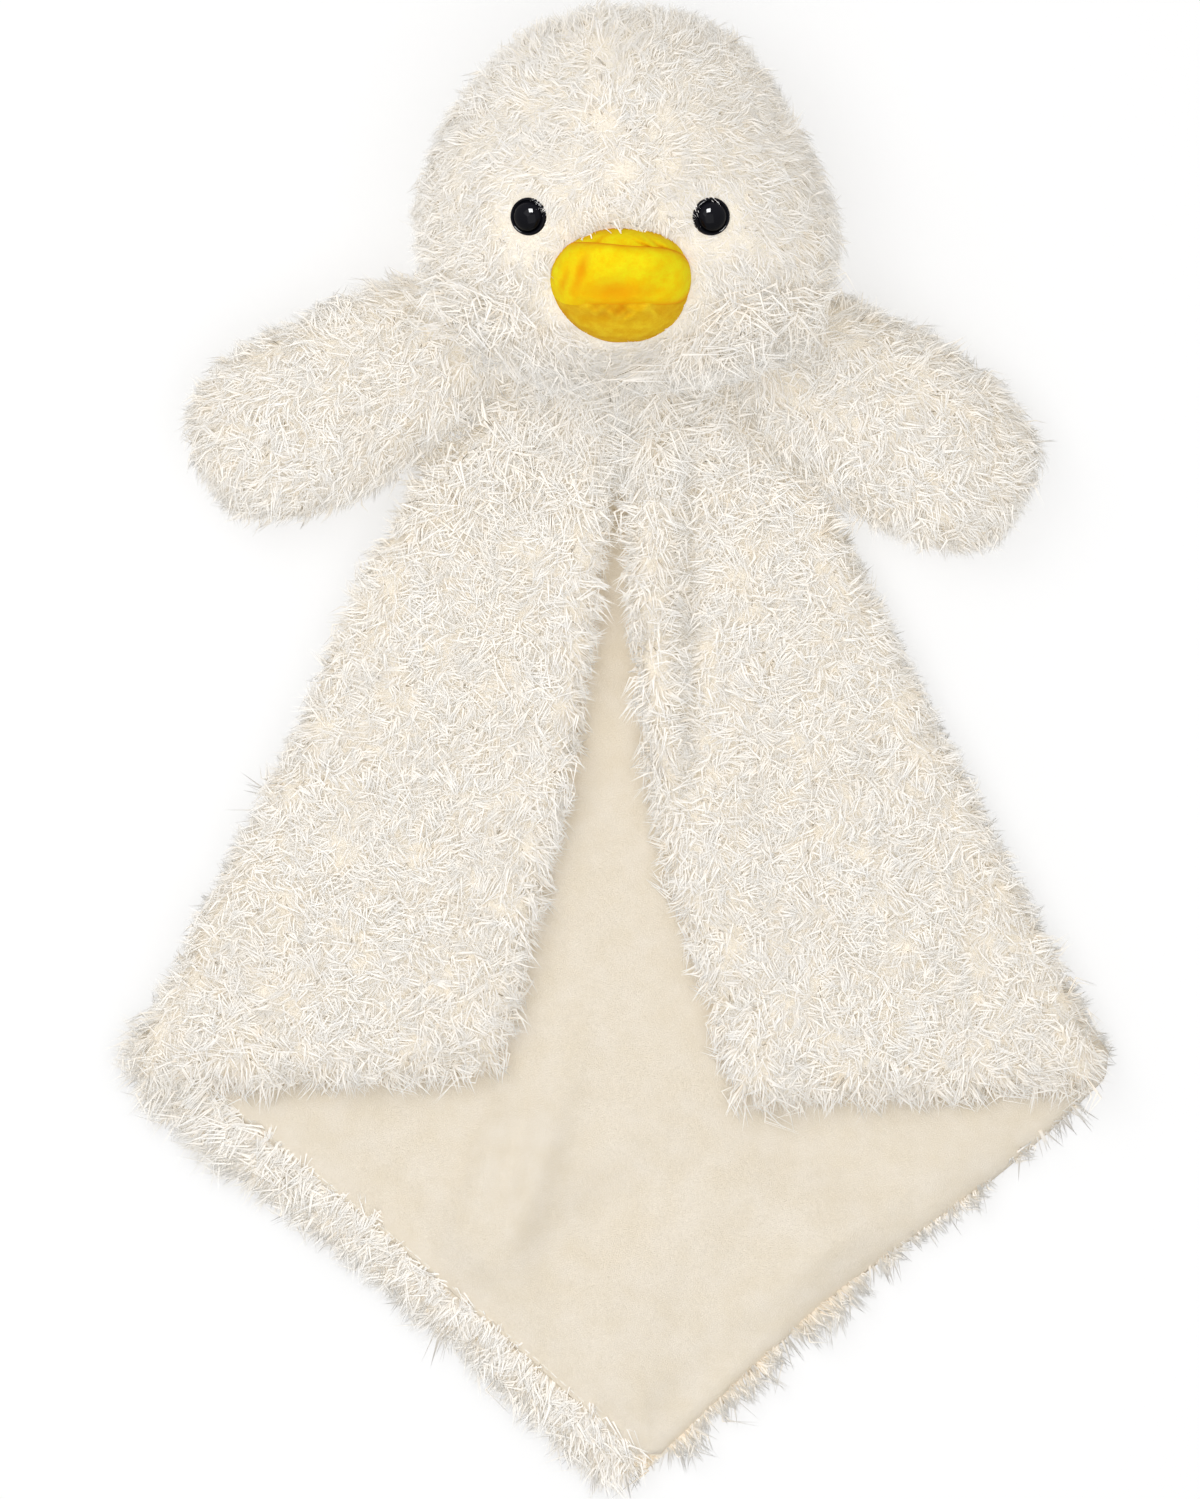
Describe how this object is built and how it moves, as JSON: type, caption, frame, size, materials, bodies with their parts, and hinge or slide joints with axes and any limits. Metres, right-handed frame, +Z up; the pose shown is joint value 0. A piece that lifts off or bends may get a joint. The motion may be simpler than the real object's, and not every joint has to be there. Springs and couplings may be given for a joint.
{
  "type": "comfort blanket lovey",
  "caption": "Plush comfort blanket with a duck's head, stuffed wings and two fold-back front flaps, lying flat on its back.",
  "frame": {"origin": "under the neck, on the flat underside of the blanket's back, on the surface that it lies on", "axes": "+Z up, the way the face looks; +Y from the tail to the crown of the head; +X to the right as seen from above"},
  "size_m": [0.3, 0.4575, 0.0999],
  "materials": {
    "cream_fur": "long cream plush fur with glossy tips",
    "velour_lining": "short smooth cream velour",
    "yellow_plush": "short-nap bright yellow plush",
    "black_plastic": "polished black",
    "white_plastic": "plain moulded",
    "fibre_filling": "loose white polyester fibre"
  },
  "bodies": {
    "root": {"back_fur": "cream_fur", "back_lining": "velour_lining", "neck_gather": "cream_fur", "neck_stuffing": "fibre_filling", "left_shoulder_fur": "cream_fur", "left_shoulder_lining": "velour_lining", "right_shoulder_fur": "cream_fur", "right_shoulder_lining": "velour_lining"},
    "head": {"head_face_left": "cream_fur", "head_face_right": "cream_fur", "head_nape_left": "cream_fur", "head_nape_right": "cream_fur", "head_stuffing": "fibre_filling", "left_eye": "black_plastic", "right_eye": "black_plastic", "left_eye_washer": "white_plastic", "right_eye_washer": "white_plastic", "beak_bridge": "yellow_plush", "beak_upper": "yellow_plush", "beak_lower": "yellow_plush", "beak_upper_stuffing": "fibre_filling", "beak_lower_stuffing": "fibre_filling"},
    "left_flap": {"left_flap_fur": "cream_fur", "left_flap_lining": "velour_lining"},
    "left_wing": {"left_wing_top": "cream_fur", "left_wing_under": "cream_fur", "left_wing_stuffing": "fibre_filling"},
    "right_flap": {"right_flap_fur": "cream_fur", "right_flap_lining": "velour_lining"},
    "right_wing": {"right_wing_top": "cream_fur", "right_wing_under": "cream_fur", "right_wing_stuffing": "fibre_filling"}
  },
  "joints": [
    {"name": "head_nod", "type": "hinge", "parent": "root", "child": "head", "pos_m": [0.0025, 0.006, 0.036], "axis": [1, 0, 0], "range_deg": [0, 35]},
    {"name": "left_flap_fold", "type": "hinge", "parent": "root", "child": "left_flap", "pos_m": [-0.0065, -0.042, 0.0191], "axis": [-0.6371, -0.7708, 0], "range_deg": [0, 150]},
    {"name": "right_flap_fold", "type": "hinge", "parent": "root", "child": "right_flap", "pos_m": [0.004, -0.042, 0.0191], "axis": [-0.6384, 0.7697, 0], "range_deg": [0, 150]},
    {"name": "left_wing_lift", "type": "hinge", "parent": "root", "child": "left_wing", "pos_m": [-0.05677, 0.01687, 0.02998], "axis": [-0.4067, 0.9135, 0], "range_deg": [0, 60]},
    {"name": "right_wing_lift", "type": "hinge", "parent": "root", "child": "right_wing", "pos_m": [0.05468, 0.01324, 0.02998], "axis": [-0.5878, -0.809, 0], "range_deg": [0, 60]}
  ]
}
